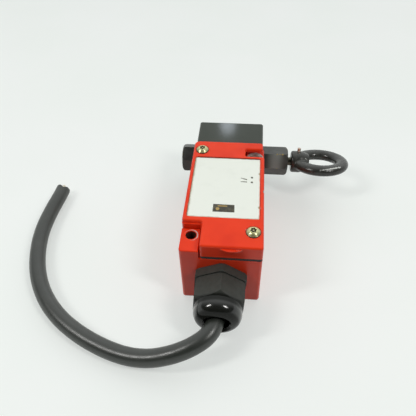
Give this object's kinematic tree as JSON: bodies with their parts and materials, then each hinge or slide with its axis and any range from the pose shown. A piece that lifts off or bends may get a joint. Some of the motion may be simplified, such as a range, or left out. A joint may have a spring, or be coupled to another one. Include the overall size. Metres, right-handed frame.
{
  "type": "rope pull switch",
  "caption": "Rope pull safety switch: die-cast housing with screwed cover, square rope head with a sprung pull rod and swivelling eye, cable gland and a short cut cable.",
  "frame": {"origin": "middle of the two fixing holes, on the flat back face of the housing", "axes": "+Z out of the back face towards the cover, +Y from the cable gland to the rope head, +X the way the rope pulls"},
  "size_m": [0.1849, 0.1492, 0.0447],
  "materials": {
    "red_paint": "smooth red enamel, satin to gloss, worn to bare metal at the fixing holes",
    "black_paint": "satin black enamel",
    "black_steel": "black-finished steel, semi-gloss, worn at edges",
    "rod_steel": "dark turned steel",
    "yellow_zinc": "yellow passivated zinc",
    "spring_steel": "drawn spring wire",
    "pin_steel": "plain steel pin, a little rusty",
    "black_rubber": "soft black rubber",
    "label_white": "off-white satin plate, soiled along its edges",
    "gland_nylon": "black nylon, matt hexagon and glossy dome",
    "cable_sheath": "satin black sheath",
    "core_insulation": "pale core insulation",
    "contact_plastic": "moulded insulating plastic",
    "carrier_plastic": "pale moulded plastic",
    "contact_brass": "bright strip",
    "bush_bronze": "sintered bronze"
  },
  "bodies": {
    "housing": {"housing": "red_paint", "cover": "red_paint", "cover_gasket": "black_rubber", "cover_screws": "yellow_zinc", "label_plate": "label_white", "head": "black_paint", "head_gasket": "black_rubber", "head_screws": "yellow_zinc", "spring_barrel": "black_steel", "end_cap": "black_steel", "rod_seal": "black_rubber", "return_spring": "spring_steel", "plunger_bush": "bush_bronze", "plunger_seal": "black_rubber", "contact_base": "contact_plastic", "carrier_spring": "spring_steel", "fixed_contacts": "contact_brass", "terminal_screws": "yellow_zinc", "contact_base_screws": "yellow_zinc", "earth_screw": "yellow_zinc", "gland_body": "gland_nylon", "gland_washer": "black_rubber", "gland_seal": "black_rubber", "gland_nut": "gland_nylon", "cable": "cable_sheath", "cable_cores": "core_insulation"},
    "spring_seat": {"spring_seat": "spring_steel"},
    "pull_rod": {"pull_rod": "rod_steel", "cam_cone": "rod_steel", "cam_pin": "pin_steel", "rope_eye": "black_steel", "eye_pin": "pin_steel"},
    "plunger": {"plunger": "rod_steel", "contact_carrier": "carrier_plastic", "contact_bridges": "contact_brass", "bridge_springs": "spring_steel"}
  },
  "joints": [
    {"name": "rod_pull", "type": "slide", "parent": "housing", "child": "spring_seat", "axis": [1, 0, 0], "range_m": [0, 0.01], "stiffness_N_per_m": 2000, "springref_m": -0.015, "deforming": ["return_spring"]},
    {"name": "eye_swivel", "type": "hinge", "parent": "spring_seat", "child": "pull_rod", "pos_m": [0.0551, 0.0485, 0.021], "axis": [1, 0, 0], "continuous": true},
    {"name": "plunger_push", "type": "slide", "parent": "housing", "child": "plunger", "axis": [0, -1, 0], "range_m": [0, 0.00325], "deforming": ["carrier_spring"]}
  ],
  "couplings": [
    {"joint": "plunger_push", "follows": "rod_pull", "ratio": 0.32492}
  ]
}
